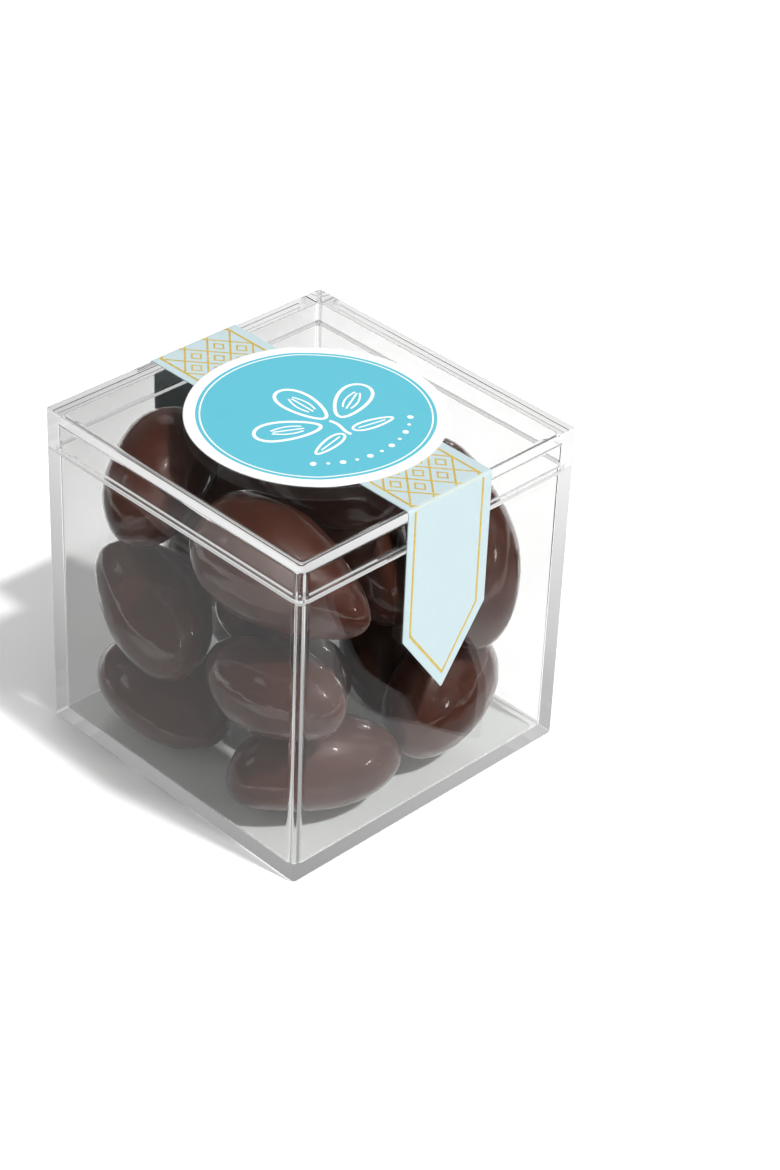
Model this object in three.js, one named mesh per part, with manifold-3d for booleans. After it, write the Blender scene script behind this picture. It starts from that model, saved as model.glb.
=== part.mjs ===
// Clear cube box of chocolate-coated toffee almonds, closed with a round seal on a paper band.
// Millimetres, +Z up. The origin is the middle of the underside of the box; -Y is the front,
// where the pointed end of the band hangs down the side.
//
// Pieces: an open-topped clear base, a clear lid with a shallow skirt that sits on the base's
// rim, a paper band over the lid and down two sides, a round seal on top of it, and the
// candies, which lie loose in the box. Nothing here is hinged: the lid lifts straight off
// once the seal is cut.

import * as THREE from 'three';
import { mergeVertices } from 'three/addons/utils/BufferGeometryUtils.js';
import Module from 'manifold-3d';

// ---------------------------------------------------------------- driving sizes
const SIDE = 57.2;          // outside width of base and lid, both ways
const HEIGHT = 58.1;        // underside of the base to the top of the lid
const WALL = 2.0;           // side walls of the base
const FLOOR = 2.0;          // bottom of the base
const PLATE = 2.4;          // flat top of the lid
const SKIRT_WALL = 1.85;    // wall of the lid's skirt
const LID_DEPTH = 6.7;      // top of the lid to the bottom of its skirt
const SEAM = 0.25;          // open line between skirt and rim
const LIP = 0.8;            // thickness of the rim's locating lip
const LIP_RISE = 0.6;       // how far the lip stands up inside the skirt
const LIP_PLAY = 0.2;       // room round the lip
const CORNER_OUT = 0.7;     // radius of the upright outside corners
const CORNER_IN = 0.9;      // radius of the upright inside corners
const EDGE = 0.35;          // rounding of the horizontal outside edges

const PAPER = 0.15;         // thickness of the printed paper
const STICK = 0.03;         // film of glue under it
const BAND_X0 = -7.45;      // left edge of the band
const BAND_X1 = 9.9;        // right edge of the band
const BAND_SHOULDER = 34.9; // height at which the hanging end starts to narrow
const BAND_POINT = 22.6;    // height of its point
const BAND_POINT_X = 1.4;   // where the point lies across the front
const SEAL_R = 20.25;       // radius of the round seal
const SEAL_X = 1.0;         // its centre on the lid
const SEAL_Y = -0.1;

const LUMP = 1.0;           // strength of the coating's unevenness
const CANDY_DETAIL = 4;     // fineness of a candy's facets

// The candies as they lie: the coated nuts differ in size and none is a true egg. Each row
// gives the centre, the turns about x, y and z in degrees, the three half sizes, how much one
// end is fuller than the other, and how far the long axis bows sideways and up.
const CANDIES = [
  [-14.68, 17.23, 44.93, 94.3, 26.9, -177.7, 12.63, 9.02, 8.05, -0.043, 1.01, 0.81],
  [-16.6, -11.83, 43.19, -154.9, 30.8, 74.9, 14.76, 8.1, 7.97, -0.205, -0.46, 0.49],
  [17.26, -15.43, 34.96, -128.8, 21.2, 99.7, 16.29, 8.53, 7.92, -0.004, 1.03, 0.36],
  [-18.65, 14.11, 24.71, -147.3, -14.3, 94.1, 12.49, 7.74, 8.41, 0.117, 1.89, 0.33],
  [-18.69, -13.11, 24.12, 169.4, 42.5, 94.7, 13.37, 7.14, 7.29, 0.014, -0.65, -0.23],
  [15.47, -1.51, 12.22, 61.9, 25.2, 48.7, 14.24, 7.99, 7.19, 0.022, -0.44, 0.79],
  [-16.98, 12.7, 8.2, -173.3, 7.6, 92.1, 13.33, 8.94, 6.12, -0.166, 0, 0.72],
  [-14.19, -17, 9.4, -92.8, 27.8, -3.9, 13.09, 7.34, 7.92, 0.004, 1.31, -0.05],
  [10.37, -19.11, 12.17, -108.9, -4.8, 167.4, 12.53, 8.89, 6.8, -0.033, -0.36, -0.64],
  [10.18, -0.56, 29.93, -140.5, -19.5, 82.1, 13.6, 8.62, 7.89, -0.06, 0.33, 0.18],
  [2.46, -0.69, 47.05, -171.9, 13.5, 73.6, 13.9, 8.8, 8.08, 0.08, -0.3, 0.3],
  [11.92, 17.48, 12.86, -85.7, 17.9, -34.6, 13.84, 8.76, 8.03, -0.067, 0.4, -0.19],
  [18.19, 17.5, 36.13, -65.8, 67.5, -99.2, 14, 8.73, 8.03, 0.064, -0.35, 0.31],
  [-2.44, 1.13, 10.25, -18.3, -8.4, 67.4, 13.49, 8.49, 7.73, -0.056, 0.31, 0.26],
  [-1.87, 17.93, 27.34, 100.1, 69.6, 89, 12.4, 7.9, 8.6, -0.025, -0.24, 0.35],
  [-6.91, -0.94, 28.92, -38.7, 35.2, 75.4, 12.61, 8.6, 7.75, 0.052, 0.3, 0.19],
];

// Broad waves in the coating: direction, number of waves round the candy, height in mm.
const WAVES = [
  [0.80, 0.50, 0.33, 3.1, 0.16],
  [-0.40, 0.75, 0.53, 4.3, 0.11],
  [0.35, -0.60, 0.72, 5.2, 0.08],
  [0.90, -0.20, -0.40, 6.4, 0.05],
];
const PHASE = [[1.7, 0.4], [2.9, 1.1], [4.1, 2.3], [5.3, 0.7]]; // step per candy, start

// ---------------------------------------------------------------- levels
const RIM = HEIGHT - LID_DEPTH - SEAM;         // top of the base's wall
const SKIRT_BOTTOM = HEIGHT - LID_DEPTH;
const HALF = SIDE / 2;
const BAND_TOP = HEIGHT + STICK + PAPER;       // upper face of the band on the lid
const SEAL_TOP = BAND_TOP + STICK + PAPER;

// ---------------------------------------------------------------- solids
const wasm = await Module();
wasm.setup();

// One level of a square tower with rounded upright corners: points in order round it.
function squareRing(half, radius, z, steps = 4) {
  const ring = [];
  for (let corner = 0; corner < 4; corner++) {
    const turn = (corner * Math.PI) / 2;
    const cx = (half - radius) * (corner === 0 || corner === 3 ? 1 : -1);
    const cy = (half - radius) * (corner < 2 ? 1 : -1);
    for (let k = 0; k <= steps; k++) {
      const t = turn + (k / steps) * (Math.PI / 2);
      ring.push(new THREE.Vector3(cx + radius * Math.cos(t), cy + radius * Math.sin(t), z));
    }
  }
  return ring;
}

// Closed skin through a stack of rings, lowest first, with flat ends.
function skin(rings) {
  const n = rings[0].length;
  const points = rings.flat();
  const bottom = points.length;
  points.push(new THREE.Vector3(0, 0, rings[0][0].z));
  const top = points.length;
  points.push(new THREE.Vector3(0, 0, rings[rings.length - 1][0].z));
  const index = [];
  for (let r = 0; r + 1 < rings.length; r++) {
    for (let k = 0; k < n; k++) {
      const a = r * n + k;
      const b = r * n + ((k + 1) % n);
      index.push(a, b, b + n, a, b + n, a + n);
    }
  }
  for (let k = 0; k < n; k++) {
    index.push(bottom, (k + 1) % n, k);
    const last = (rings.length - 1) * n;
    index.push(top, last + k, last + ((k + 1) % n));
  }
  const geometry = new THREE.BufferGeometry();
  geometry.setAttribute('position', new THREE.Float32BufferAttribute(points.flatMap((p) => [p.x, p.y, p.z]), 3));
  geometry.setIndex(index);
  return geometry;
}

// Square block from z0 to z1; its lower and upper edges are rounded by e0 and e1.
function block(half, radius, z0, z1, e0 = 0, e1 = 0, steps = 3) {
  const rings = [];
  for (let k = 0; k <= (e0 ? steps : 0); k++) {
    const t = e0 ? (k / steps) * (Math.PI / 2) : Math.PI / 2;
    const inset = e0 * (1 - Math.sin(t));
    rings.push(squareRing(half - inset, Math.max(radius - inset, 0.05), z0 + e0 * (1 - Math.cos(t))));
  }
  for (let k = 0; k <= (e1 ? steps : 0); k++) {
    const t = e1 ? (k / steps) * (Math.PI / 2) : 0;
    const inset = e1 * (1 - Math.cos(t));
    rings.push(squareRing(half - inset, Math.max(radius - inset, 0.05), z1 - e1 * (1 - Math.sin(t))));
  }
  return skin(rings);
}

function toSolid(geometry) {
  const g = geometry.index ? geometry.clone() : geometry;
  g.deleteAttribute('normal');
  g.deleteAttribute('uv');
  const merged = mergeVertices(g, 1e-4);
  return new wasm.Manifold(new wasm.Mesh({
    numProp: 3,
    vertProperties: new Float32Array(merged.attributes.position.array),
    triVerts: new Uint32Array(merged.index.array),
  }));
}

function toGeometry(solid) {
  const mesh = solid.getMesh();
  const geometry = new THREE.BufferGeometry();
  geometry.setAttribute('position', new THREE.BufferAttribute(new Float32Array(mesh.vertProperties), 3));
  geometry.setIndex(new THREE.BufferAttribute(new Uint32Array(mesh.triVerts), 1));
  geometry.computeVertexNormals();
  return geometry;
}

// Prism of an outline given in one plane and pushed along the third axis from t0 to t1.
function prism(outline, plane, t0, t1) {
  const shape = new THREE.Shape(outline.map(([a, b]) => new THREE.Vector2(a, b)));
  const g = new THREE.ExtrudeGeometry(shape, { depth: t1 - t0, bevelEnabled: false });
  g.translate(0, 0, t0);
  const m = new THREE.Matrix4();
  if (plane === 'yz') m.makeBasis(new THREE.Vector3(0, 1, 0), new THREE.Vector3(0, 0, 1), new THREE.Vector3(1, 0, 0));
  if (plane === 'xz') m.makeBasis(new THREE.Vector3(1, 0, 0), new THREE.Vector3(0, 0, 1), new THREE.Vector3(0, -1, 0));
  g.applyMatrix4(m);
  return g;
}

// ---------------------------------------------------------------- clear base
function baseGeometry() {
  const inside = HALF - WALL;
  return toGeometry(
    toSolid(block(HALF, CORNER_OUT, 0, RIM, EDGE, 0.2))
      .add(toSolid(block(inside + LIP, CORNER_IN + LIP, FLOOR, RIM + LIP_RISE, 0, 0.15)))
      .subtract(toSolid(block(inside, CORNER_IN, FLOOR, HEIGHT, 0.5, 0))),
  );
}

// ---------------------------------------------------------------- clear lid
function lidGeometry() {
  const inside = HALF - SKIRT_WALL;
  const lipRoom = HALF - WALL + LIP + LIP_PLAY;
  return toGeometry(
    toSolid(block(HALF, CORNER_OUT, SKIRT_BOTTOM, HEIGHT, 0.2, EDGE))
      .subtract(toSolid(block(inside, CORNER_IN, SKIRT_BOTTOM - 1, HEIGHT - PLATE, 0, 0.4)))
      .subtract(toSolid(block(lipRoom, CORNER_IN + LIP, SKIRT_BOTTOM - 1, RIM + LIP_RISE + LIP_PLAY))),
  );
}

// ---------------------------------------------------------------- paper band
// Section through the band, seen from the side: down the front, over the lid, down the back.
function bandSection() {
  const inner = [];
  const outer = [];
  const c = HALF - EDGE;
  const zc = HEIGHT - EDGE;
  const r0 = EDGE + STICK;
  const r1 = r0 + PAPER;
  const steps = 6;
  for (const [list, r] of [[inner, r0], [outer, r1]]) {
    list.push([-c - r, BAND_POINT - 1]);
    for (let k = 0; k <= steps; k++) {
      const t = Math.PI - (k / steps) * (Math.PI / 2);
      list.push([-c + r * Math.cos(t), zc + r * Math.sin(t)]);
    }
    for (let k = 0; k <= steps; k++) {
      const t = Math.PI / 2 - (k / steps) * (Math.PI / 2);
      list.push([c + r * Math.cos(t), zc + r * Math.sin(t)]);
    }
    list.push([c + r, BAND_POINT - 1]);
  }
  return [...outer, ...inner.reverse()];
}

function bandGeometry() {
  const strip = toSolid(prism(bandSection(), 'yz', BAND_X0, BAND_X1));
  const below = BAND_POINT - 5;
  const waste = toSolid(prism([
    [BAND_X0 - 2, BAND_SHOULDER], [BAND_X0, BAND_SHOULDER], [BAND_POINT_X, BAND_POINT],
    [BAND_X1, BAND_SHOULDER], [BAND_X1 + 2, BAND_SHOULDER], [BAND_X1 + 2, below], [BAND_X0 - 2, below],
  ], 'xz', -SIDE, SIDE));
  return toGeometry(strip.subtract(waste));
}

// ---------------------------------------------------------------- round seal
// A disc on the lid, with a shallow channel under it where the band runs through.
function sealGeometry() {
  const foot = HEIGHT + STICK;
  const disc = new THREE.CylinderGeometry(SEAL_R, SEAL_R, SEAL_TOP - foot, 96);
  disc.rotateX(Math.PI / 2);
  disc.translate(SEAL_X, SEAL_Y, (SEAL_TOP + foot) / 2);
  const channel = prism([
    [BAND_X0 - STICK, foot - 1], [BAND_X1 + STICK, foot - 1],
    [BAND_X1 + STICK, BAND_TOP + STICK], [BAND_X0 - STICK, BAND_TOP + STICK],
  ], 'xz', -SIDE, SIDE);
  return toGeometry(toSolid(disc).subtract(toSolid(channel)));
}

// ---------------------------------------------------------------- candies
// Point on candy number i in the direction (x, y, z) from its middle.
function candyPoint(i, row, v) {
  const [a, b, c, taper, bowY, bowZ] = row.slice(6);
  const full = 1 + taper * v.x;
  const bow = v.x * v.x - 1 / 3;
  const p = new THREE.Vector3(a * v.x, b * v.y * full + bowY * bow, c * v.z * full + bowZ * bow);
  let swell = 0;
  WAVES.forEach(([wx, wy, wz, waves, height], k) => {
    const len = Math.hypot(wx, wy, wz);
    const along = (wx * v.x + wy * v.y + wz * v.z) / len;
    swell += height * Math.sin(waves * along + PHASE[k][0] * i + PHASE[k][1]);
  });
  const out = new THREE.Vector3(v.x / a, v.y / b, v.z / c).normalize();
  return p.addScaledVector(out, LUMP * swell);
}

function candyGeometry(i) {
  const g = new THREE.IcosahedronGeometry(1, CANDY_DETAIL);
  g.deleteAttribute('normal');
  g.deleteAttribute('uv');
  const ball = mergeVertices(g, 1e-4);
  const pos = ball.attributes.position;
  const v = new THREE.Vector3();
  for (let k = 0; k < pos.count; k++) {
    v.fromBufferAttribute(pos, k).normalize();
    const p = candyPoint(i, CANDIES[i], v);
    pos.setXYZ(k, p.x, p.y, p.z);
  }
  ball.computeVertexNormals();
  return ball;
}

// ---------------------------------------------------------------- finishes
const clear = new THREE.MeshStandardMaterial({ color: 0xf2f5f4, roughness: 0.04, metalness: 0, transparent: true, opacity: 0.22 });
const bandPaper = new THREE.MeshStandardMaterial({ color: 0xd8f0f2, roughness: 0.55, metalness: 0 });
const sealPaper = new THREE.MeshStandardMaterial({ color: 0x72cfe2, roughness: 0.5, metalness: 0 });
const chocolate = new THREE.MeshStandardMaterial({ color: 0x3b1f17, roughness: 0.22, metalness: 0 });

// ---------------------------------------------------------------- the object
const group = new THREE.Group();
function place(name, geometry, material) {
  const mesh = new THREE.Mesh(geometry, material);
  mesh.name = name;
  group.add(mesh);
  return mesh;
}

place('box_base', baseGeometry(), clear);
place('box_lid', lidGeometry(), clear);
place('label_band', bandGeometry(), bandPaper);
place('label_seal', sealGeometry(), sealPaper);

CANDIES.forEach((row, i) => {
  const candy = place(`candy_${String(i + 1).padStart(2, '0')}`, candyGeometry(i), chocolate);
  candy.position.set(row[0], row[1], row[2]);
  candy.rotation.set(...row.slice(3, 6).map((d) => THREE.MathUtils.degToRad(d)), 'XYZ');
});

export default group;
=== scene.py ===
# Looks of the clear box of chocolate-coated toffee almonds. Metres, +Z up, -Y is the front.
import math

import bmesh
import bpy
import numpy as np
from mathutils import Matrix, Vector, noise


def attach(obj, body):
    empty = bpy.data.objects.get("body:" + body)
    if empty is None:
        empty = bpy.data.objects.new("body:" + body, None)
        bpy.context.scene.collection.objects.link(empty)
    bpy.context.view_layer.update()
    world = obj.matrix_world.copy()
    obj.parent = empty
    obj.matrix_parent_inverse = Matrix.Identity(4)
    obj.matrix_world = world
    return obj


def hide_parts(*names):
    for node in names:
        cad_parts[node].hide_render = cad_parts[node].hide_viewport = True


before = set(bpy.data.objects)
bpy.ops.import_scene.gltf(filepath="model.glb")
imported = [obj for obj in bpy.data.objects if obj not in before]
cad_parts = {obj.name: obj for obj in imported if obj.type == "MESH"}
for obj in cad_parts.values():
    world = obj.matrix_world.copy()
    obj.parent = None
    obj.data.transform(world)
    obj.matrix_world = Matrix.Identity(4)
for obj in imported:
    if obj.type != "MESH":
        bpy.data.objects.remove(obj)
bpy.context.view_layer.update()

MM = 0.001
scene = bpy.context.scene

# ------------------------------------------------------------------ sizes, in mm
SIDE, HEIGHT = 57.2, 58.1
WALL, FLOOR, PLATE, SKIRT_WALL = 2.0, 2.0, 2.4, 1.85
LID_DEPTH, SEAM = 6.7, 0.25
LIP, LIP_RISE, LIP_PLAY = 0.8, 0.6, 0.2
CORNER_OUT, CORNER_IN, EDGE = 0.7, 0.9, 0.35
PAPER, STICK = 0.15, 0.03
BAND_X0, BAND_X1, BAND_SHOULDER = -7.45, 9.9, 34.9
BAND_POINT, BAND_POINT_X = 22.6, 1.4
SEAL_R, SEAL_X, SEAL_Y = 20.25, 1.0, -0.1
HALF = SIDE / 2
RIM = HEIGHT - LID_DEPTH - SEAM
SKIRT_BOTTOM = HEIGHT - LID_DEPTH

# centre, turns about x, y, z in degrees, half sizes, fuller end, bow sideways and up
CANDIES = [
    (-14.68, 17.23, 44.93, 94.3, 26.9, -177.7, 12.63, 9.02, 8.05, -0.043, 1.01, 0.81),
    (-16.6, -11.83, 43.19, -154.9, 30.8, 74.9, 14.76, 8.1, 7.97, -0.205, -0.46, 0.49),
    (17.26, -15.43, 34.96, -128.8, 21.2, 99.7, 16.29, 8.53, 7.92, -0.004, 1.03, 0.36),
    (-18.65, 14.11, 24.71, -147.3, -14.3, 94.1, 12.49, 7.74, 8.41, 0.117, 1.89, 0.33),
    (-18.69, -13.11, 24.12, 169.4, 42.5, 94.7, 13.37, 7.14, 7.29, 0.014, -0.65, -0.23),
    (15.47, -1.51, 12.22, 61.9, 25.2, 48.7, 14.24, 7.99, 7.19, 0.022, -0.44, 0.79),
    (-16.98, 12.7, 8.2, -173.3, 7.6, 92.1, 13.33, 8.94, 6.12, -0.166, 0, 0.72),
    (-14.19, -17, 9.4, -92.8, 27.8, -3.9, 13.09, 7.34, 7.92, 0.004, 1.31, -0.05),
    (10.37, -19.11, 12.17, -108.9, -4.8, 167.4, 12.53, 8.89, 6.8, -0.033, -0.36, -0.64),
    (10.18, -0.56, 29.93, -140.5, -19.5, 82.1, 13.6, 8.62, 7.89, -0.06, 0.33, 0.18),
    (2.46, -0.69, 47.05, -171.9, 13.5, 73.6, 13.9, 8.8, 8.08, 0.08, -0.3, 0.3),
    (11.92, 17.48, 12.86, -85.7, 17.9, -34.6, 13.84, 8.76, 8.03, -0.067, 0.4, -0.19),
    (18.19, 17.5, 36.13, -65.8, 67.5, -99.2, 14, 8.73, 8.03, 0.064, -0.35, 0.31),
    (-2.44, 1.13, 10.25, -18.3, -8.4, 67.4, 13.49, 8.49, 7.73, -0.056, 0.31, 0.26),
    (-1.87, 17.93, 27.34, 100.1, 69.6, 89, 12.4, 7.9, 8.6, -0.025, -0.24, 0.35),
    (-6.91, -0.94, 28.92, -38.7, 35.2, 75.4, 12.61, 8.6, 7.75, 0.052, 0.3, 0.19),
]
WAVES = [
    (0.80, 0.50, 0.33, 3.1, 0.16),
    (-0.40, 0.75, 0.53, 4.3, 0.11),
    (0.35, -0.60, 0.72, 5.2, 0.08),
    (0.90, -0.20, -0.40, 6.4, 0.05),
]
PHASE = [(1.7, 0.4), (2.9, 1.1), (4.1, 2.3), (5.3, 0.7)]


# ------------------------------------------------------------------ camera
def make_camera():
    az, el, roll = math.radians(-45.6752), math.radians(34.5723), math.radians(2.5434)
    back = Vector((math.sin(az) * math.cos(el), -math.cos(az) * math.cos(el), math.sin(el)))
    right = Vector((math.cos(az), math.sin(az), 0))
    up = back.cross(right)
    r = math.cos(roll) * right + math.sin(roll) * up
    u = -math.sin(roll) * right + math.cos(roll) * up
    data = bpy.data.cameras.new("camera")
    data.sensor_fit = "AUTO"
    data.sensor_width = 36.0
    data.lens = 2989.96 * 36.0 / 1170.0
    data.clip_start, data.clip_end = 0.01, 10.0
    cam = bpy.data.objects.new("camera", data)
    m = Matrix((r, u, back)).transposed().to_4x4()
    m.translation = Vector((-268.233, -280.288, 295.061)) * MM
    cam.matrix_world = m
    scene.collection.objects.link(cam)
    scene.camera = cam


# ------------------------------------------------------------------ mesh helpers
def link(name, mesh):
    ob = bpy.data.objects.new(name, mesh)
    scene.collection.objects.link(ob)
    return ob


def new_object(name, points, faces, smooth=True):
    mesh = bpy.data.meshes.new(name)
    mesh.from_pydata([tuple(p) for p in points], [], faces)
    mesh.polygons.foreach_set("use_smooth", [smooth] * len(mesh.polygons))
    mesh.update()
    return link(name, mesh)


def arc(half, z, radius, t0, t1, steps, sign=1):
    """Profile points (half width, height, normal out, normal up) on a quarter round."""
    pts = []
    for k in range(steps + 1):
        t = math.radians(t0 + (t1 - t0) * k / steps)
        pts.append((half + radius * math.cos(t), z + radius * math.sin(t), sign * math.cos(t), sign * math.sin(t)))
    return pts


def square_shell(name, strips, cap0, cap1, radius_at, steps=8):
    """Closed square body: profile strips turned round a square with rounded corners.
    Each strip is a run of (half, z, n_out, n_up); neighbours meet at a crease."""
    turn = [(q, q * math.pi / 2 + k / steps * math.pi / 2) for q in range(4) for k in range(steps + 1)]
    n = len(turn)
    points, index, faces, normals = [], {}, [], []

    def ring(half, z):
        key = (round(half, 5), round(z, 5))
        if key not in index:
            r = radius_at(half, z)
            index[key] = len(points)
            for q, t in turn:
                cx = (half - r) * (1 if q in (0, 3) else -1)
                cy = (half - r) * (1 if q < 2 else -1)
                points.append(((cx + r * math.cos(t)) * MM, (cy + r * math.sin(t)) * MM, z * MM))
        return index[key]

    def normal(p, t):
        return (p[2] * math.cos(t), p[2] * math.sin(t), p[3])

    for strip in strips:
        for a, b in zip(strip, strip[1:]):
            if abs(a[0] - b[0]) < 1e-6 and abs(a[1] - b[1]) < 1e-6:
                continue
            ia, ib = ring(a[0], a[1]), ring(b[0], b[1])
            for k in range(n):
                j = (k + 1) % n
                faces.append((ia + k, ia + j, ib + j, ib + k))
                normals += [normal(a, turn[k][1]), normal(a, turn[j][1]), normal(b, turn[j][1]), normal(b, turn[k][1])]
    first, last = strips[0][0], strips[-1][-1]
    ia, ib = ring(first[0], first[1]), ring(last[0], last[1])
    faces.append(tuple(ia + k for k in reversed(range(n))))
    normals += [cap0] * n
    faces.append(tuple(ib + k for k in range(n)))
    normals += [cap1] * n
    mesh = bpy.data.meshes.new(name)
    mesh.from_pydata(points, [], faces)
    mesh.polygons.foreach_set("use_smooth", [True] * len(mesh.polygons))
    mesh.normals_split_custom_set([Vector(v).normalized() for v in normals])
    mesh.update()
    return link(name, mesh)


# ------------------------------------------------------------------ clear box
def make_base():
    inside, lip = HALF - WALL, HALF - WALL + LIP
    e1, e2, e3, fil = 0.2, 0.15, 0.1, 0.5
    top = RIM + LIP_RISE
    strips = [
        arc(HALF - EDGE, EDGE, EDGE, -90, 0, 5)
        + [(HALF, RIM - e1, 1, 0)]
        + arc(HALF - e1, RIM - e1, e1, 0, 90, 4)[1:]
        + [(lip, RIM, 0, 1)],
        [(lip, RIM, 1, 0), (lip, top - e2, 1, 0)]
        + arc(lip - e2, top - e2, e2, 0, 90, 4)[1:]
        + [(inside + e3, top, 0, 1)]
        + arc(inside + e3, top - e3, e3, 90, 180, 3)[1:]
        + [(inside, FLOOR + fil, -1, 0)]
        + arc(inside - fil, FLOOR + fil, fil, 0, -90, 5, -1)[1:],
    ]

    def radius(half, z):
        if half > lip + 1e-4:
            return max(CORNER_OUT - (HALF - half), 0.05)
        if half > inside + 1e-4:
            return CORNER_IN + (half - inside)
        return max(CORNER_IN - (inside - half), 0.05)

    return square_shell("base_clear", strips, (0, 0, -1), (0, 0, 1), radius)


def make_lid():
    inside, recess = HALF - SKIRT_WALL, HALF - WALL + LIP + LIP_PLAY
    fil, e1 = 0.4, 0.2
    under, ledge = HEIGHT - PLATE, RIM + LIP_RISE + LIP_PLAY
    strips = [
        arc(inside - fil, under - fil, fil, 90, 0, 5, -1) + [(inside, ledge, -1, 0)],
        [(inside, ledge, 0, -1), (recess, ledge, 0, -1)],
        [(recess, ledge, -1, 0), (recess, SKIRT_BOTTOM, -1, 0)],
        [(recess, SKIRT_BOTTOM, 0, -1)]
        + arc(HALF - e1, SKIRT_BOTTOM + e1, e1, -90, 0, 4)
        + [(HALF, HEIGHT - EDGE, 1, 0)]
        + arc(HALF - EDGE, HEIGHT - EDGE, EDGE, 0, 90, 6)[1:],
    ]

    def radius(half, z):
        if half > recess + 1e-4:
            return max(CORNER_OUT - (HALF - half), 0.05)
        if half > inside + 1e-4:
            return CORNER_IN + LIP
        return max(CORNER_IN - (inside - half), 0.05)

    return square_shell("lid_clear", strips, (0, 0, -1), (0, 0, 1), radius)


# ------------------------------------------------------------------ candies
def unit_ball(levels):
    """Unit points and triangles of an icosahedron split again and again."""
    bm = bmesh.new()
    bmesh.ops.create_icosphere(bm, subdivisions=levels, radius=1.0)
    v = np.array([p.co[:] for p in bm.verts])
    f = [tuple(p.index for p in face.verts) for face in bm.faces]
    bm.free()
    return v / np.linalg.norm(v, axis=1)[:, None], f


def relief(i, u):
    """Fine unevenness of a panned coating, in mm: shallow facets and dimples."""
    s = Vector((3.7 * i + 1.3, 7.1 - 2.3 * i, 1.9 * i))
    out = np.empty(len(u))
    for k, p in enumerate(u):
        q = Vector(p)
        mid = noise.noise(q * 3.4 + s)
        fine = noise.noise(q * 8.5 + s * 1.7)
        out[k] = 0.085 * mid + 0.026 * fine + 0.005 * noise.noise(q * 19.0 + s * 0.6)
    return out - 0.034


def candy_points(i, row, u):
    a, b, c, taper, bow_y, bow_z = row[6:]
    full = 1 + taper * u[:, 0]
    bow = u[:, 0] ** 2 - 1 / 3
    p = np.stack([a * u[:, 0], b * u[:, 1] * full + bow_y * bow, c * u[:, 2] * full + bow_z * bow], 1)
    swell = np.zeros(len(u))
    for (wx, wy, wz, waves, height), (step, start) in zip(WAVES, PHASE):
        d = np.array([wx, wy, wz]) / math.sqrt(wx * wx + wy * wy + wz * wz)
        swell += height * np.sin(waves * (u @ d) + step * i + start)
    out = u / np.array([a, b, c])
    out /= np.linalg.norm(out, axis=1)[:, None]
    return p + out * (swell + relief(i, u))[:, None]


def make_candy(i, ball, tris):
    row = CANDIES[i]
    rx, ry, rz = (math.radians(v) for v in row[3:6])
    turn = Matrix.Rotation(rx, 3, "X") @ Matrix.Rotation(ry, 3, "Y") @ Matrix.Rotation(rz, 3, "Z")
    p = candy_points(i, row, ball) @ np.array(turn).T + np.array(row[:3])
    return new_object("choc_%02d" % (i + 1), p * MM, tris)


# ------------------------------------------------------------------ paper band
BEND = EDGE + STICK + PAPER                   # radius of the band's outer face at the lid's edge
FLAT = HALF - EDGE                            # length of the flat stretch on the lid, from the middle
TURN_END = FLAT + BEND * math.pi / 2          # where it hangs straight down
S_SHOULDER = TURN_END + (HEIGHT - EDGE - BAND_SHOULDER)
S_POINT = TURN_END + (HEIGHT - EDGE - BAND_POINT)


def on_band(x, s, h=0.0):
    """Point of the unrolled band, s from the middle of the lid, h above its outer face."""
    a, side = abs(s), (-1 if s > 0 else 1)
    if a <= FLAT:
        y, z = a, HEIGHT + STICK + PAPER + h
    elif a < TURN_END:
        t = (a - FLAT) / BEND
        y, z = FLAT + (BEND + h) * math.sin(t), HEIGHT - EDGE + (BEND + h) * math.cos(t)
    else:
        y, z = FLAT + BEND + h, HEIGHT - EDGE - (a - TURN_END)
    return Vector((x, side * y, z)) * MM


def width_at(s):
    """Left and right edge of the band at s."""
    a = abs(s)
    if a <= S_SHOULDER:
        return BAND_X0, BAND_X1
    t = min((a - S_SHOULDER) / (S_POINT - S_SHOULDER), 1.0)
    return BAND_X0 + (BAND_POINT_X - BAND_X0) * t, BAND_X1 + (BAND_POINT_X - BAND_X1) * t


def make_band():
    rows = set()
    for k in range(41):
        rows.add(round(k / 40 * FLAT, 4))
    for k in range(9):
        rows.add(round(FLAT + k / 8 * (TURN_END - FLAT), 4))
    for k in range(25):
        rows.add(round(TURN_END + k / 24 * (S_SHOULDER - TURN_END), 4))
    for k in range(13):
        rows.add(round(S_SHOULDER + k / 12 * (S_POINT - 0.15 - S_SHOULDER), 4))
    rows = sorted({-r for r in rows} | rows)
    across = 14
    points, faces = [], []
    for s in rows:
        x0, x1 = width_at(s)
        for h in (0.0, -PAPER):
            for k in range(across + 1):
                points.append(on_band(x0 + (x1 - x0) * k / across, s, h))
    n = across + 1
    for r in range(len(rows) - 1):
        a, b = r * 2 * n, (r + 1) * 2 * n
        for k in range(across):
            faces.append((a + k, a + k + 1, b + k + 1, b + k)[::-1])
            faces.append((a + n + k, a + n + k + 1, b + n + k + 1, b + n + k))
        faces.append((a, b, b + n, a + n)[::-1])
        faces.append((a + across, a + n + across, b + n + across, b + across)[::-1])
    for r, flip in ((0, False), (len(rows) - 1, True)):
        a = r * 2 * n
        for k in range(across):
            f = (a + k, a + k + 1, a + n + k + 1, a + n + k)
            faces.append(f if not flip else f[::-1])
    ob = new_object("band_paper", points, faces)
    tidy(ob, 40)
    return ob


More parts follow.
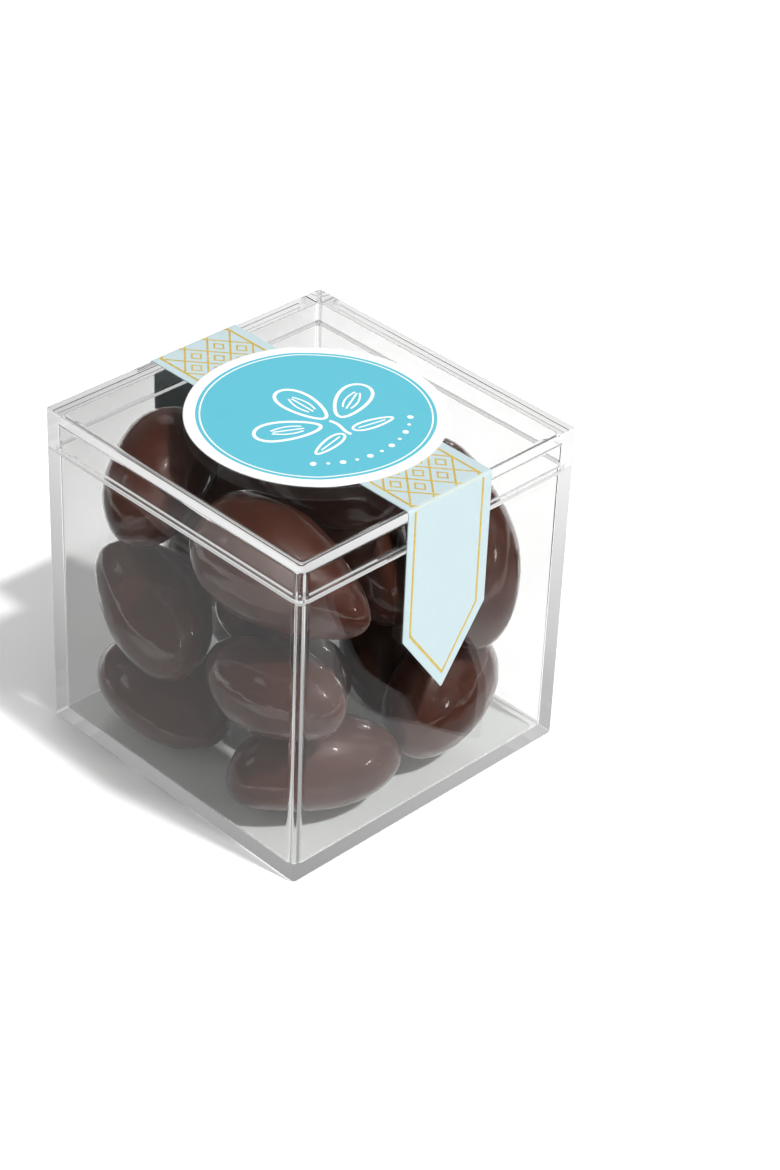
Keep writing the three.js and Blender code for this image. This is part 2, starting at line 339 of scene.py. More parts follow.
def tidy(ob, crease):
    """Faces turned outwards, and creases sharper than that angle kept."""
    bm = bmesh.new()
    bm.from_mesh(ob.data)
    bmesh.ops.remove_doubles(bm, verts=bm.verts, dist=1e-7)
    bmesh.ops.recalc_face_normals(bm, faces=bm.faces)
    lim = math.radians(crease)
    for e in bm.edges:
        e.smooth = not (len(e.link_faces) == 2 and e.calc_face_angle(0.0) > lim)
    bm.to_mesh(ob.data)
    bm.free()
    ob.data.update()


# ------------------------------------------------------------------ print: thin raised ink
def cut_fine(line, closed, step=0.5):
    """The same line with points no further apart than step."""
    ends = list(zip(line, line[1:] + (line[:1] if closed else [])))
    if not closed:
        ends = ends[: len(line) - 1]
    out = []
    for (x0, y0), (x1, y1) in ends:
        n = max(1, math.ceil(math.hypot(x1 - x0, y1 - y0) / step))
        out += [(x0 + (x1 - x0) * k / n, y0 + (y1 - y0) * k / n) for k in range(n)]
    if not closed:
        out.append(line[-1])
    return out


class Ink:
    """Collects printed lines and patches as thin closed bodies on a paper surface."""

    def __init__(self, where, low=-0.01, high=0.012):
        self.where, self.low, self.high = where, low, high
        self.points, self.faces = [], []

    def line(self, pts, width, closed=False, step=0.5):
        pts = cut_fine([tuple(p) for p in pts], closed, step)
        n, base = len(pts), len(self.points)
        for k, p in enumerate(pts):
            a = pts[k - 1] if (k or closed) else p
            b = pts[(k + 1) % n] if (k + 1 < n or closed) else p
            d0 = Vector((p[0] - a[0], p[1] - a[1]))
            d1 = Vector((b[0] - p[0], b[1] - p[1]))
            d0 = d0.normalized() if d0.length > 1e-9 else d1.normalized()
            d1 = d1.normalized() if d1.length > 1e-9 else d0
            m = (d0 + d1).normalized()
            off = width / 2 / max(math.sqrt(max((1 + d0.dot(d1)) / 2, 1e-6)), 0.4)
            nx, ny = -m.y * off, m.x * off
            for h in (self.high, self.low):
                self.points.append(self.where(p[0] + nx, p[1] + ny, h))
                self.points.append(self.where(p[0] - nx, p[1] - ny, h))
        for k in range(n if closed else n - 1):
            a, b = base + 4 * k, base + 4 * ((k + 1) % n)
            self.faces += [(a, a + 1, b + 1, b), (a + 2, b + 2, b + 3, a + 3), (a, b, b + 2, a + 2), (a + 1, a + 3, b + 3, b + 1)]
        if not closed:
            a, b = base, base + 4 * (n - 1)
            self.faces += [(a, a + 2, a + 3, a + 1), (b, b + 1, b + 3, b + 2)]

    def patch(self, outline, rings=3):
        """A filled convex outline."""
        cx = sum(p[0] for p in outline) / len(outline)
        cy = sum(p[1] for p in outline) / len(outline)
        n, base = len(outline), len(self.points)
        for h in (self.high, self.low):
            for r in range(rings, 0, -1):
                for x, y in outline:
                    self.points.append(self.where(cx + (x - cx) * r / rings, cy + (y - cy) * r / rings, h))
            self.points.append(self.where(cx, cy, h))
        half = n * rings + 1
        for side in (0, 1):
            o = base + side * half
            for r in range(rings - 1):
                for k in range(n):
                    j = (k + 1) % n
                    f = (o + r * n + k, o + r * n + j, o + (r + 1) * n + j, o + (r + 1) * n + k)
                    self.faces.append(f if side == 0 else f[::-1])
            for k in range(n):
                f = (o + (rings - 1) * n + k, o + (rings - 1) * n + (k + 1) % n, o + n * rings)
                self.faces.append(f if side == 0 else f[::-1])
        for k in range(n):
            j = (k + 1) % n
            self.faces.append((base + k, base + half + k, base + half + j, base + j))

    def done(self, name):
        ob = new_object(name, self.points, self.faces, smooth=False)
        tidy(ob, 30)
        return ob


def clip_line(p, q, lo, hi):
    """The part of p-q inside the rectangle lo-hi, or None."""
    t0, t1 = 0.0, 1.0
    for k in (0, 1):
        d = q[k] - p[k]
        if abs(d) < 1e-12:
            if p[k] < lo[k] or p[k] > hi[k]:
                return None
            continue
        a, b = (lo[k] - p[k]) / d, (hi[k] - p[k]) / d
        t0, t1 = max(t0, min(a, b)), min(t1, max(a, b))
    if t1 - t0 < 1e-6:
        return None
    at = lambda t: (p[0] + (q[0] - p[0]) * t, p[1] + (q[1] - p[1]) * t)
    return at(t0), at(t1)


FRAME_X0, FRAME_X1 = -6.0, 8.05
FRAME_FOLD = FLAT + 0.45                      # the gold line across the band at the lid's edge


def make_band_print():
    gold = Ink(lambda x, s, h: on_band(x, s, h))
    w = 0.4
    s_sh = TURN_END + (HEIGHT - EDGE - 35.5)
    s_pt = TURN_END + (HEIGHT - EDGE - 25.4)
    for side in (1, -1):
        gold.line([(FRAME_X0, side * FRAME_FOLD), (FRAME_X1, side * FRAME_FOLD), (FRAME_X1, side * s_sh),
                   (BAND_POINT_X, side * s_pt), (FRAME_X0, side * s_sh)], w, closed=True, step=0.35)
    gold.line([(FRAME_X0, -FRAME_FOLD), (FRAME_X0, FRAME_FOLD)], w)
    gold.line([(FRAME_X1, -FRAME_FOLD), (FRAME_X1, FRAME_FOLD)], w)
    # plain trellis of crossing diagonals with a small lozenge in each opening
    lo, hi = (FRAME_X0, -FRAME_FOLD + 0.1), (FRAME_X1, FRAME_FOLD - 0.1)
    px = (FRAME_X1 - FRAME_X0) / 3
    ps = px * 1.18
    mid = (FRAME_X0 + FRAME_X1) / 2
    reach = 14
    for sg, high in ((1, 0.009), (-1, 0.0105)):
        gold.high = high
        for k in range(-reach, reach + 1):
            x_at = mid + px / 2 + k * px
            span = 60.0
            cut = clip_line((x_at - sg * span * px / ps, -span), (x_at + sg * span * px / ps, span), lo, hi)
            if cut and abs(cut[0][0] - cut[1][0]) > 0.3:
                gold.line(cut, 0.32)
    gold.high = 0.012
    for i in range(-2, 3):
        for j in range(-16, 17):
            cx, cs = mid + i * px / 2 + 0.0, j * ps / 2
            if (i + j) % 2:
                continue
            r = 0.2
            if not (FRAME_X0 + 1.0 < cx < FRAME_X1 - 1.0 and abs(cs) < FRAME_FOLD - 1.1):
                continue
            gold.line([(cx - px * r, cs), (cx, cs - ps * r), (cx + px * r, cs), (cx, cs + ps * r)], 0.28, closed=True)
    return gold.done("band_gold_print")


# ------------------------------------------------------------------ round seal
def drape(x, y):
    """Underside of the seal: flat on the lid, a paper's thickness higher over the band."""
    wide = 4.0
    out = max(BAND_X0 - x, x - BAND_X1, 0.0)
    t = min(out / wide, 1.0)
    lift = 1 - t * t * (3 - 2 * t)
    return HEIGHT + STICK + (PAPER + STICK) * lift


def on_seal(x, y, h=0.0):
    return Vector((x, y, drape(x, y) + PAPER + h)) * MM


TEAL_R, RING_R = 18.4, 17.74


def make_seal():
    radii = [0.0] + [0.7 * k for k in range(1, 26)] + [17.95, TEAL_R, 18.9, 19.5, SEAL_R - 0.03, SEAL_R]
    n = 192
    points, faces, slots = [on_seal(SEAL_X, SEAL_Y)], [], []
    for r in radii[1:]:
        for k in range(n):
            t = 2 * math.pi * k / n
            drop = -0.02 if r == SEAL_R else 0.0
            points.append(on_seal(SEAL_X + r * math.cos(t), SEAL_Y + r * math.sin(t), drop))
    m = len(radii) - 1
    for k in range(n):
        faces.append((0, 1 + k, 1 + (k + 1) % n))
        slots.append(0)
    for r in range(m - 1):
        for k in range(n):
            j = (k + 1) % n
            a, b = 1 + r * n, 1 + (r + 1) * n
            faces.append((a + k, b + k, b + j, a + j))
            slots.append(0 if radii[r + 2] <= TEAL_R + 1e-6 else 1)
    off = len(points)
    points.append(on_seal(SEAL_X, SEAL_Y, -PAPER))
    for r in radii[1:]:
        for k in range(n):
            t = 2 * math.pi * k / n
            points.append(on_seal(SEAL_X + r * math.cos(t), SEAL_Y + r * math.sin(t), -PAPER))
    for k in range(n):
        faces.append((off, off + 1 + (k + 1) % n, off + 1 + k))
        slots.append(1)
    for r in range(m - 1):
        for k in range(n):
            j = (k + 1) % n
            a, b = off + 1 + r * n, off + 1 + (r + 1) * n
            faces.append((a + k, a + j, b + j, b + k))
            slots.append(1)
    a, b = 1 + (m - 1) * n, off + 1 + (m - 1) * n
    for k in range(n):
        j = (k + 1) % n
        faces.append((a + k, b + k, b + j, a + j))
        slots.append(1)
    ob = new_object("seal_paper", points, faces)
    ob.data.polygons.foreach_set("material_index", slots)
    bm = bmesh.new()
    bm.from_mesh(ob.data)
    bmesh.ops.recalc_face_normals(bm, faces=bm.faces)
    for e in bm.edges:
        e.smooth = not (len(e.link_faces) == 2 and e.calc_face_angle(0.0) > math.radians(40))
    bm.to_mesh(ob.data)
    bm.free()
    return ob


def lens(cx, cy, length, width, turn, n=40):
    """Outline of an almond: blunt at one end, pointed at the other."""
    out = []
    for k in range(n):
        t = 2 * math.pi * k / n
        u = math.cos(t)
        v = math.sin(t) * (1 - 0.42 * (u + 1) / 2) * (1 if u < 0.9 else 1)
        x, y = length / 2 * u, width / 2 * v
        out.append((cx + x * math.cos(turn) - y * math.sin(turn), cy + x * math.sin(turn) + y * math.cos(turn)))
    return out


def make_seal_print():
    ink = Ink(on_seal)
    circle = [(SEAL_X + RING_R * math.cos(2 * math.pi * k / 256), SEAL_Y + RING_R * math.sin(2 * math.pi * k / 256)) for k in range(256)]
    ink.line(circle, 0.24, closed=True)
    # a plain sprig: three nuts on a short stem with two leaves, and a row of dots below
    foot = SEAL_Y - 4.2

    def along(t, r, side=0.0):
        return (SEAL_X + r * math.cos(t) - side * math.sin(t), foot + r * math.sin(t) + side * math.cos(t))

    for turn in (90, 27, 153):
        t = math.radians(turn)
        cx, cy = along(t, 7.5)
        ink.line(lens(cx, cy, 10.4, 6.3, t + math.pi), 0.55, closed=True, step=0.4)
        for side in (-1.05, 0.0, 1.05):
            ink.line([along(t, 4.9 + 0.7 * k + 0.25 * abs(side), side * math.sin((k + 2.2) * 0.3)) for k in range(8)], 0.3)
    ink.line([(SEAL_X + 0.25 * math.sin(k * 0.7), foot + 1.3 - 0.62 * k) for k in range(9)], 0.55)
    for turn in (-12, 192):
        t = math.radians(turn)
        cx, cy = SEAL_X + 4.6 * math.cos(t), foot - 2.6 + 4.6 * math.sin(t)
        ink.line(lens(cx, cy, 7.0, 2.7, t), 0.42, closed=True, step=0.4)
        ink.line([(cx + u * math.cos(t), cy + u * math.sin(t)) for u in (-2.6, -1.0, 0.6, 2.2)], 0.26)
    for k in range(11):
        t = math.radians(270 + (k - 5) * 9.0)
        cx, cy = SEAL_X + 14.3 * math.cos(t), SEAL_Y + 14.3 * math.sin(t)
        r = 0.5 if k % 2 == 0 else 0.3
        ink.patch([(cx + r * math.cos(a * math.pi / 8), cy + r * math.sin(a * math.pi / 8)) for a in range(16)], 1)
    return ink.done("seal_white_print")


# ------------------------------------------------------------------ materials
class Tree:
    def __init__(self, name):
        self.mat = bpy.data.materials.new(name)
        self.mat.use_nodes = True
        self.nt = self.mat.node_tree
        self.nt.nodes.clear()
        self.out = self.nt.nodes.new("ShaderNodeOutputMaterial")

    def node(self, kind, **sets):
        n = self.nt.nodes.new(kind)
        for k, v in sets.items():
            setattr(n, k, v)
        return n

    def link(self, a, b):
        self.nt.links.new(a, b)

    def noise(self, scale, detail=2.0, rough=0.5, distort=0.0):
        n = self.node("ShaderNodeTexNoise")
        n.inputs["Scale"].default_value = scale
        n.inputs["Detail"].default_value = detail
        n.inputs["Roughness"].default_value = rough
        n.inputs["Distortion"].default_value = distort
        self.link(self.place(), n.inputs["Vector"])
        return n.outputs["Fac"]

    def place(self):
        if not hasattr(self, "_where"):
            self._where = self.node("ShaderNodeTexCoord").outputs["Object"]
        return self._where

    def ramp(self, fac, stops):
        n = self.node("ShaderNodeValToRGB")
        e = n.color_ramp.elements
        while len(e) > 1:
            e.remove(e[-1])
        for k, (pos, col) in enumerate(stops):
            if k:
                el = e.new(pos)
            else:
                el = e[0]
                el.position = pos
            el.color = (*col, 1) if len(col) == 3 else col
        self.link(fac, n.inputs["Fac"])
        return n.outputs["Color"]

    def bump(self, height, strength, distance):
        n = self.node("ShaderNodeBump")
        n.inputs["Strength"].default_value = strength
        n.inputs["Distance"].default_value = distance
        self.link(height, n.inputs["Height"])
        return n.outputs["Normal"]

    def map(self, value, a0, a1, b0, b1):
        n = self.node("ShaderNodeMapRange")
        for k, v in zip(("From Min", "From Max", "To Min", "To Max"), (a0, a1, b0, b1)):
            n.inputs[k].default_value = v
        self.link(value, n.inputs["Value"])
        return n.outputs["Result"]


def lin(*rgb):
    """Linear colour from 0-255 screen values."""
    return tuple(((c / 255 + 0.055) / 1.055) ** 2.4 if c > 10 else c / 255 / 12.92 for c in rgb)


def clear_plastic():
    t = Tree("clear_styrene")
    p = t.node("ShaderNodeBsdfPrincipled")
    p.inputs["Base Color"].default_value = (0.985, 0.99, 0.985, 1)
    p.inputs["Roughness"].default_value = 0.015
    p.inputs["Metallic"].default_value = 0.0
    p.inputs["IOR"].default_value = 1.49
    p.inputs["Transmission Weight"].default_value = 1.0
    t.link(t.bump(t.noise(55.0, 2.0), 0.12, 0.0006), p.inputs["Normal"])
    through = t.node("ShaderNodeBsdfTransparent")
    graze = t.node("ShaderNodeLayerWeight")
    graze.inputs["Blend"].default_value = 0.5
    t.link(t.ramp(graze.outputs["Facing"], [(0.3, (0.925, 0.93, 0.925)), (0.55, (0.875, 0.88, 0.875)), (0.9, (0.3, 0.3, 0.3))]), through.inputs["Color"])
    path = t.node("ShaderNodeLightPath")
    either = t.node("ShaderNodeMath", operation="MAXIMUM")
    t.link(path.outputs["Is Shadow Ray"], either.inputs[0])
    t.link(path.outputs["Is Diffuse Ray"], either.inputs[1])
    mix = t.node("ShaderNodeMixShader")
    t.link(either.outputs[0], mix.inputs[0])
    t.link(p.outputs[0], mix.inputs[1])
    t.link(through.outputs[0], mix.inputs[2])
    # painted glow: after a few mirror turns inside the plastic the surface glows, brighter to the right and higher up,
    # standing in for light caught in an edge
    painted_edge_glow = t.node("ShaderNodeEmission")
    split = t.node("ShaderNodeSeparateXYZ")
    t.link(t.place(), split.inputs[0])
    level = t.node("ShaderNodeMath", operation="MULTIPLY")
    t.link(t.map(split.outputs[0], -0.028, 0.028, 0.62, 1.0), level.inputs[0])
    t.link(t.map(split.outputs[2], 0.0, 0.055, 0.5, 1.1), level.inputs[1])
    t.link(level.outputs[0], painted_edge_glow.inputs["Color"])
    caught = t.node("ShaderNodeMath", operation="GREATER_THAN")
    caught.inputs[1].default_value = 3.5
    t.link(path.outputs["Glossy Depth"], caught.inputs[0])
    outer = t.node("ShaderNodeMixShader")
    t.link(caught.outputs[0], outer.inputs[0])
    t.link(mix.outputs[0], outer.inputs[1])
    t.link(painted_edge_glow.outputs[0], outer.inputs[2])
    t.link(outer.outputs[0], t.out.inputs["Surface"])
    return t.mat


def chocolate():
    t = Tree("dark_chocolate")
    p = t.node("ShaderNodeBsdfPrincipled")
    blotch = t.noise(150.0, 3.0, 0.55)
    t.link(t.ramp(blotch, [(0.3, (0.051, 0.0155, 0.009)), (0.7, (0.068, 0.0205, 0.0118))]), p.inputs["Base Color"])
    t.link(t.map(t.noise(420.0, 2.0), 0.3, 0.7, 0.3, 0.42), p.inputs["Roughness"])
    p.inputs["IOR"].default_value = 1.45
    p.inputs["Specular IOR Level"].default_value = 0.15
    p.inputs["Coat Weight"].default_value = 1.0
    p.inputs["Coat Roughness"].default_value = 0.04
    p.inputs["Coat IOR"].default_value = 1.46
    n = t.bump(t.noise(300.0, 2.0, 0.5), 0.08, 0.00004)
    t.link(n, p.inputs["Normal"])
    t.link(n, p.inputs["Coat Normal"])
    t.link(p.outputs[0], t.out.inputs["Surface"])
    return t.mat


def paper(name, rgb, rough=0.5, spec=0.3):
    t = Tree(name)
    p = t.node("ShaderNodeBsdfPrincipled")
    a = np.array(rgb)
    f = t.noise(2600.0, 3.0, 0.6)
    t.link(t.ramp(f, [(0.3, tuple(a * 0.975)), (0.7, tuple(np.minimum(a * 1.02, 0.95)))]), p.inputs["Base Color"])
    t.link(t.map(t.noise(900.0), 0.3, 0.7, rough - 0.05, rough + 0.05), p.inputs["Roughness"])
    p.inputs["Specular IOR Level"].default_value = spec
    t.link(t.bump(f, 0.15, 0.00002), p.inputs["Normal"])
    t.link(p.outputs[0], t.out.inputs["Surface"])
    return t.mat


def gold_ink():
    t = Tree("gold_ink")
    p = t.node("ShaderNodeBsdfPrincipled")
    f = t.noise(1500.0, 2.0)
    t.link(t.ramp(f, [(0.3, (0.56, 0.40, 0.075)), (0.7, (0.68, 0.50, 0.12))]), p.inputs["Base Color"])
    t.link(t.map(f, 0.3, 0.7, 0.34, 0.46), p.inputs["Roughness"])
    p.inputs["Metallic"].default_value = 0.2
    t.link(p.outputs[0], t.out.inputs["Surface"])
    return t.mat


# ------------------------------------------------------------------ stage
def make_stage():
    mesh = bpy.data.meshes.new("floor")
    r = 4.0
    mesh.from_pydata([(-r, -r, 0), (r, -r, 0), (r, r, 0), (-r, r, 0)], [], [(0, 1, 2, 3)])
    floor = link("floor", mesh)
    floor.location.z = -0.00005
    t = Tree("white_floor")
    p = t.node("ShaderNodeBsdfDiffuse")
    # painted shade: seen through the box, and not in a mirror, the floor is darker towards the back left
    split = t.node("ShaderNodeSeparateXYZ")
    t.link(t.place(), split.inputs[0])
    run = t.node("ShaderNodeMath", operation="MULTIPLY_ADD")
    t.link(split.outputs[0], run.inputs[0])
    run.inputs[1].default_value = -0.55
    t.link(split.outputs[1], run.inputs[2])
    path = t.node("ShaderNodeLightPath")
    through = t.node("ShaderNodeMath", operation="GREATER_THAN")
    through.inputs[1].default_value = 0.5
    t.link(path.outputs["Transmission Depth"], through.inputs[0])
    straight = t.node("ShaderNodeMath", operation="LESS_THAN")
    straight.inputs[1].default_value = 0.5
    t.link(path.outputs["Glossy Depth"], straight.inputs[0])
    both = t.node("ShaderNodeMath", operation="MULTIPLY")
    t.link(through.outputs[0], both.inputs[0])
    t.link(straight.outputs[0], both.inputs[1])
    shade = t.node("ShaderNodeMix", data_type="FLOAT")
    shade.inputs["A"].default_value = 1.0
    t.link(both.outputs[0], shade.inputs["Factor"])
    t.link(t.map(run.outputs[0], 0.020, 0.075, 0.93, 0.58), shade.inputs["B"])
    t.link(shade.outputs["Result"], p.inputs["Color"])
    # painted glow: after two mirror turns the floor glows, brighter to the right, standing in for light that has run
    # far inside the plastic
    painted_glow = t.node("ShaderNodeEmission")
    t.link(t.map(split.outputs[0], -0.040, 0.040, 0.45, 0.85), painted_glow.inputs["Color"])
    deep = t.node("ShaderNodeMath", operation="GREATER_THAN")
    deep.inputs[1].default_value = 1.5
    t.link(path.outputs["Glossy Depth"], deep.inputs[0])
    mix = t.node("ShaderNodeMixShader")
    t.link(deep.outputs[0], mix.inputs[0])
    t.link(p.outputs[0], mix.inputs[1])
    t.link(painted_glow.outputs[0], mix.inputs[2])
    t.link(mix.outputs[0], t.out.inputs["Surface"])
    floor.data.materials.append(t.mat)

    mirror_floor()


def floor_piece(name, outline, z):
    mesh = bpy.data.meshes.new(name)
    mesh.from_pydata([(x * MM, y * MM, 0) for x, y in outline], [], [tuple(range(len(outline)))])
    ob = link(name, mesh)
    ob.location.z = z * MM
    ob.visible_camera = ob.visible_diffuse = ob.visible_shadow = False
    return ob


def only_mirrored(t, colour, near):
    """Painted reflection: glows with that colour in mirror images, clear to everything else."""
    painted_glow = t.node("ShaderNodeEmission")
    if isinstance(colour, float):
        painted_glow.inputs["Color"].default_value = (colour, colour, colour, 1)
    else:
        t.link(colour, painted_glow.inputs["Color"])
    clear = t.node("ShaderNodeBsdfTransparent")
    path = t.node("ShaderNodeLightPath")
    seen = t.node("ShaderNodeMath", operation="GREATER_THAN")
    seen.inputs[1].default_value = 0.5
    t.link(path.outputs["Glossy Depth"], seen.inputs[0])
    tests = [seen]
    for socket, limit in [("Glossy Depth", 1.5)] + ([("Transmission Depth", 2.5)] if near else []):
        below = t.node("ShaderNodeMath", operation="LESS_THAN")
        below.inputs[1].default_value = limit
        t.link(path.outputs[socket], below.inputs[0])
        tests.append(below)
    switch = tests[0].outputs[0]
    for test in tests[1:]:
        both = t.node("ShaderNodeMath", operation="MULTIPLY")
        t.link(switch, both.inputs[0])
        t.link(test.outputs[0], both.inputs[1])
        switch = both.outputs[0]
    mix = t.node("ShaderNodeMixShader")
    t.link(switch, mix.inputs[0])
    t.link(clear.outputs[0], mix.inputs[1])
    t.link(painted_glow.outputs[0], mix.inputs[2])
    t.link(mix.outputs[0], t.out.inputs["Surface"])


def mirror_floor():
    """Painted reflections in the box's sides and the nuts: floor-level sheets, seen only in mirror images, glow with
    the floor's brightness, dimmer on the left and at the far right, and a painted dark reflection lies in front on the
    right."""
    # painted reflection: how bright the floor on the left looks in mirror images, even near the box, further left
    # bright in front and dark towards the back
    left = floor_piece("painted_reflection_left", [(-28.6, -28.6), (-28.6, 200), (-300, 200), (-300, -300)], 0.1)
    t = Tree("painted_reflection_left")
    split = t.node("ShaderNodeSeparateXYZ")
    t.link(t.place(), split.inputs[0])
    side = t.node("ShaderNodeMix", data_type="FLOAT")
    t.link(t.map(split.outputs[0], -0.083, -0.077, 0.0, 1.0), side.inputs["Factor"])
    t.link(t.map(split.outputs[1], 0.032, 0.070, 1.27, 0.05), side.inputs["A"])
    side.inputs["B"].default_value = 0.42
    only_mirrored(t, side.outputs["Result"], False)
    left.data.materials.append(t.mat)
    # painted dark reflection behind the box on the left
    dark_piece("shade_left", SHADE_LEFT, 0.05, False)

    # painted reflection: the floor in front looks dimmer in mirror images towards the far right and the front
    front = floor_piece("painted_reflection_front", [(-28.6, -28.6), (-300, -300), (300, -300), (300, -28.6)], 0.1)
    t = Tree("painted_reflection_front")
    split = t.node("ShaderNodeSeparateXYZ")
    t.link(t.place(), split.inputs[0])
    far = t.node("ShaderNodeMath", operation="SUBTRACT")
    t.link(split.outputs[0], far.inputs[0])
    t.link(split.outputs[1], far.inputs[1])
    product = t.node("ShaderNodeMath", operation="MULTIPLY")
    t.link(t.map(far.outputs[0], 0.092, 0.128, 0.7, 0.05), product.inputs[0])
    t.link(t.map(split.outputs[1], -0.086, -0.074, 0.15, 1.0), product.inputs[1])
    only_mirrored(t, product.outputs[0], False)
    front.data.materials.append(t.mat)

    # painted dark reflection in front on the right, with a lighter soft edge
    dark_piece("painted_dark_reflection", DARK_REFLECTION, 0.01, True)
    dark_piece("painted_dark_reflection_edge", DARK_REFLECTION_EDGE, 0.25, True)


def dark_piece(name, outline, level, near):
    ob = floor_piece(name, outline, 0.2)
    t = Tree(name)
    only_mirrored(t, level, near)
    ob.data.materials.append(t.mat)


# outlines on the floor, in mm, of painted dark reflections: the patch in front on the right, its soft edge, and the
# dark patch mirrored behind the box on the left
DARK_REFLECTION = [(18.2, -34.8), (15.8, -38.5), (13.5, -44), (16, -48), (17.5, -52), (17, -57), (18, -62), (22, -70), (27.7, -79.1),
        (45, -92), (52, -80), (43, -66), (38, -59), (37, -55), (36, -53), (33, -49), (31, -46), (27, -42)]
DARK_REFLECTION_EDGE = [(13.5, -44), (11.1, -47.5), (9.7, -51.2), (10.7, -56.9), (11.1, -59.1), (18.6, -69.4), (22, -70), (18, -62),
             (17, -57), (17.5, -52), (16, -48)]
SHADE_LEFT = [(-77, 77), (-75, 72), (-71, 67), (-69, 63), (-66, 61), (-70, 60), (-73, 57), (-74, 54), (-75, 48), (-77, 62), (-78, 68)]


def sun(name, towards, strength, angle):
    data = bpy.data.lights.new(name, "SUN")
    data.energy, data.angle = strength, math.radians(angle)
    ob = bpy.data.objects.new(name, data)
    ob.rotation_mode = "QUATERNION"
    ob.rotation_quaternion = Vector(towards).normalized().to_track_quat("Z", "Y")
    scene.collection.objects.link(ob)


PANEL, ONCE = 0.75, 0.6


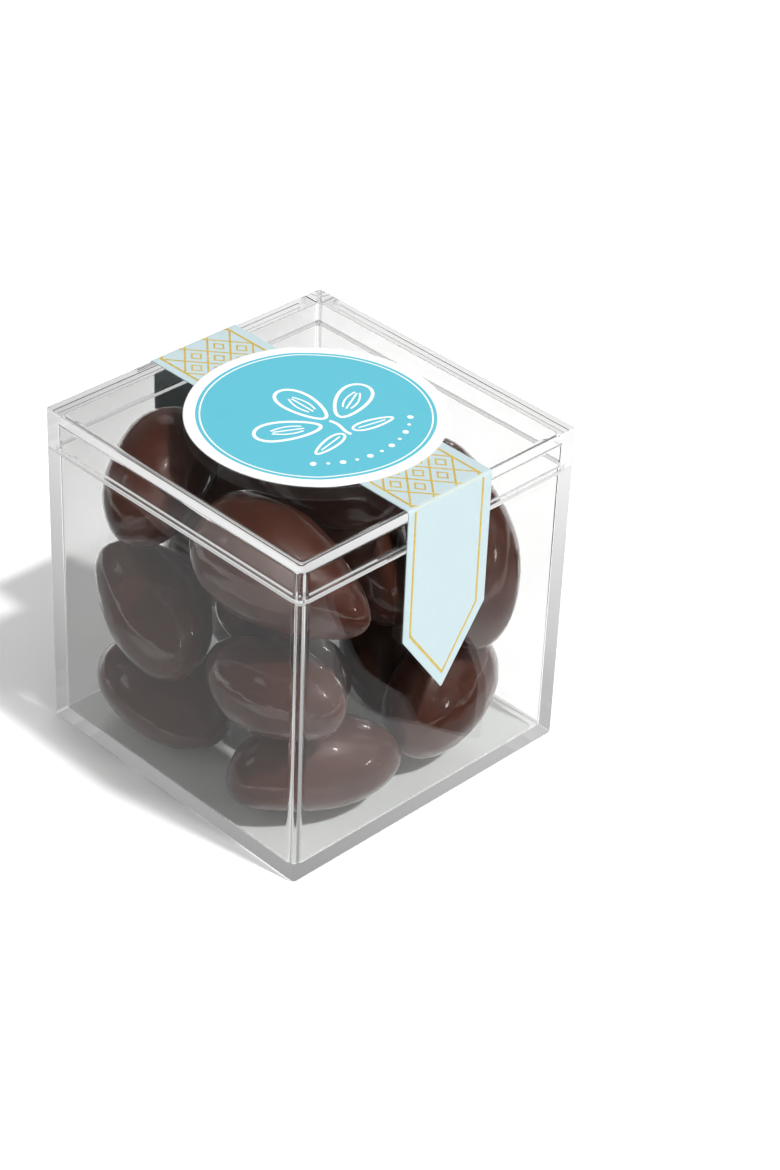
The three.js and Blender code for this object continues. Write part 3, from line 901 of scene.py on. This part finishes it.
def make_light():
    sun("key", (0.10, -0.526, 0.848), 2.9, 3.6)
    sun("rim", (0.9, 0.4, 0.28), 0.35, 6.0)
    sun("spark", (0.32, -0.86, 0.28), 0.45, 7.0)
    world = bpy.data.worlds.new("studio")
    world.use_nodes = True
    nt = world.node_tree
    nt.nodes.clear()
    out = nt.nodes.new("ShaderNodeOutputWorld")
    bg = nt.nodes.new("ShaderNodeBackground")
    bg.inputs["Strength"].default_value = 1.0
    coord = nt.nodes.new("ShaderNodeTexCoord")
    dot = nt.nodes.new("ShaderNodeVectorMath")
    dot.operation = "DOT_PRODUCT"
    dot.inputs[1].default_value = Vector((-0.55, -0.6, 0.58)).normalized()
    nt.links.new(coord.outputs["Generated"], dot.inputs[0])
    ramp = nt.nodes.new("ShaderNodeMapRange")
    ramp.interpolation_type = "SMOOTHSTEP"
    for k, v in zip(("From Min", "From Max", "To Min", "To Max"), (-0.1, 0.9, 0.03, 0.09)):
        ramp.inputs[k].default_value = v
    nt.links.new(dot.outputs["Value"], ramp.inputs["Value"])
    # matt surfaces get an even fill, mirror images see the dim studio
    path = nt.nodes.new("ShaderNodeLightPath")
    def math_node(kind, a, b):
        n = nt.nodes.new("ShaderNodeMath")
        n.operation = kind
        for k, v in enumerate((a, b)):
            if isinstance(v, float):
                n.inputs[k].default_value = v
            else:
                nt.links.new(v, n.inputs[k])
        return n.outputs[0]

    mirrored, passed = path.outputs["Glossy Depth"], path.outputs["Transmission Depth"]
    deep = math_node("GREATER_THAN", mirrored, 1.5)
    parts = nt.nodes.new("ShaderNodeSeparateXYZ")
    nt.links.new(coord.outputs["Generated"], parts.inputs[0])
    far = nt.nodes.new("ShaderNodeMapRange")
    for k, v in zip(("From Min", "From Max", "To Min", "To Max"), (-0.5, 0.5, 0.5, 0.85)):
        far.inputs[k].default_value = v
    nt.links.new(parts.outputs["X"], far.inputs["Value"])
    once = math_node("MULTIPLY", math_node("GREATER_THAN", mirrored, 0.5), math_node("COMPARE", passed, 2.0))
    once = math_node("MULTIPLY", once, math_node("GREATER_THAN", dot.outputs["Value"], -0.15))
    value = ramp.outputs["Result"]
    for towards, wide, full, level in (((0.589, 0.575, 0.567), 0.972, 0.989, PANEL), ((-0.589, 0.575, 0.567), 0.9905, 0.9955, 2 * PANEL),
                                       ((0.589, -0.575, 0.567), 0.972, 0.989, PANEL)):
        near = nt.nodes.new("ShaderNodeVectorMath")
        near.operation = "DOT_PRODUCT"
        near.inputs[1].default_value = Vector(towards).normalized()
        nt.links.new(coord.outputs["Generated"], near.inputs[0])
        panel = nt.nodes.new("ShaderNodeMapRange")
        panel.interpolation_type = "SMOOTHSTEP"
        for k, v in zip(("From Min", "From Max", "To Min", "To Max"), (wide, full, 0.0, level)):
            panel.inputs[k].default_value = v
        nt.links.new(near.outputs["Value"], panel.inputs["Value"])
        inner = math_node("GREATER_THAN", passed, 2.5)
        value = math_node("MAXIMUM", value, math_node("MULTIPLY", panel.outputs["Result"], inner))
    for level, switch in ((ONCE, once), (far.outputs["Result"], deep), (0.6, path.outputs["Is Diffuse Ray"]),
                          (0.95, path.outputs["Is Camera Ray"])):
        pick = nt.nodes.new("ShaderNodeMix")
        pick.data_type = "FLOAT"
        if isinstance(level, float):
            pick.inputs["B"].default_value = level
        else:
            nt.links.new(level, pick.inputs["B"])
        nt.links.new(switch, pick.inputs["Factor"])
        nt.links.new(value, pick.inputs["A"])
        value = pick.outputs["Result"]
    nt.links.new(value, bg.inputs["Color"])
    nt.links.new(bg.outputs[0], out.inputs["Surface"])
    scene.world = world


def set_look():
    scene.view_settings.view_transform = "Standard"
    scene.view_settings.look = "None"
    scene.view_settings.exposure = 0.0
    scene.view_settings.gamma = 1.0
    c = scene.cycles
    c.max_bounces, c.transmission_bounces, c.transparent_max_bounces = 64, 64, 48
    c.glossy_bounces, c.diffuse_bounces = 64, 3
    c.caustics_reflective = c.caustics_refractive = False
    c.sample_clamp_indirect = 6.0
    c.use_denoising = True


# ------------------------------------------------------------------ put together
make_camera()
make_stage()
make_light()
set_look()

plastic, choc = clear_plastic(), chocolate()
aqua = paper("aqua_paper", (0.44, 0.545, 0.57))
teal = paper("teal_print", (0.10, 0.44, 0.545), 0.45, 0.35)
white = paper("white_print", (0.82, 0.83, 0.82), 0.45, 0.35)
gold = gold_ink()

base, lid = make_base(), make_lid()
for ob, node in ((base, "box_base"), (lid, "box_lid")):
    ob.data.materials.append(plastic)
    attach(ob, "root")
    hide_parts(node)

ball, tris = unit_ball(6)
for i in range(len(CANDIES)):
    ob = make_candy(i, ball, tris)
    ob.data.materials.append(choc)
    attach(ob, "root")
    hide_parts("candy_%02d" % (i + 1))

band = make_band()
band.data.materials.append(aqua)
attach(band, "root")
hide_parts("label_band")

band_print = make_band_print()
band_print.data.materials.append(gold)
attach(band_print, "root")

seal = make_seal()
seal.data.materials.append(teal)
seal.data.materials.append(white)
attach(seal, "root")
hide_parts("label_seal")

seal_print = make_seal_print()
seal_print.data.materials.append(white)
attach(seal_print, "root")
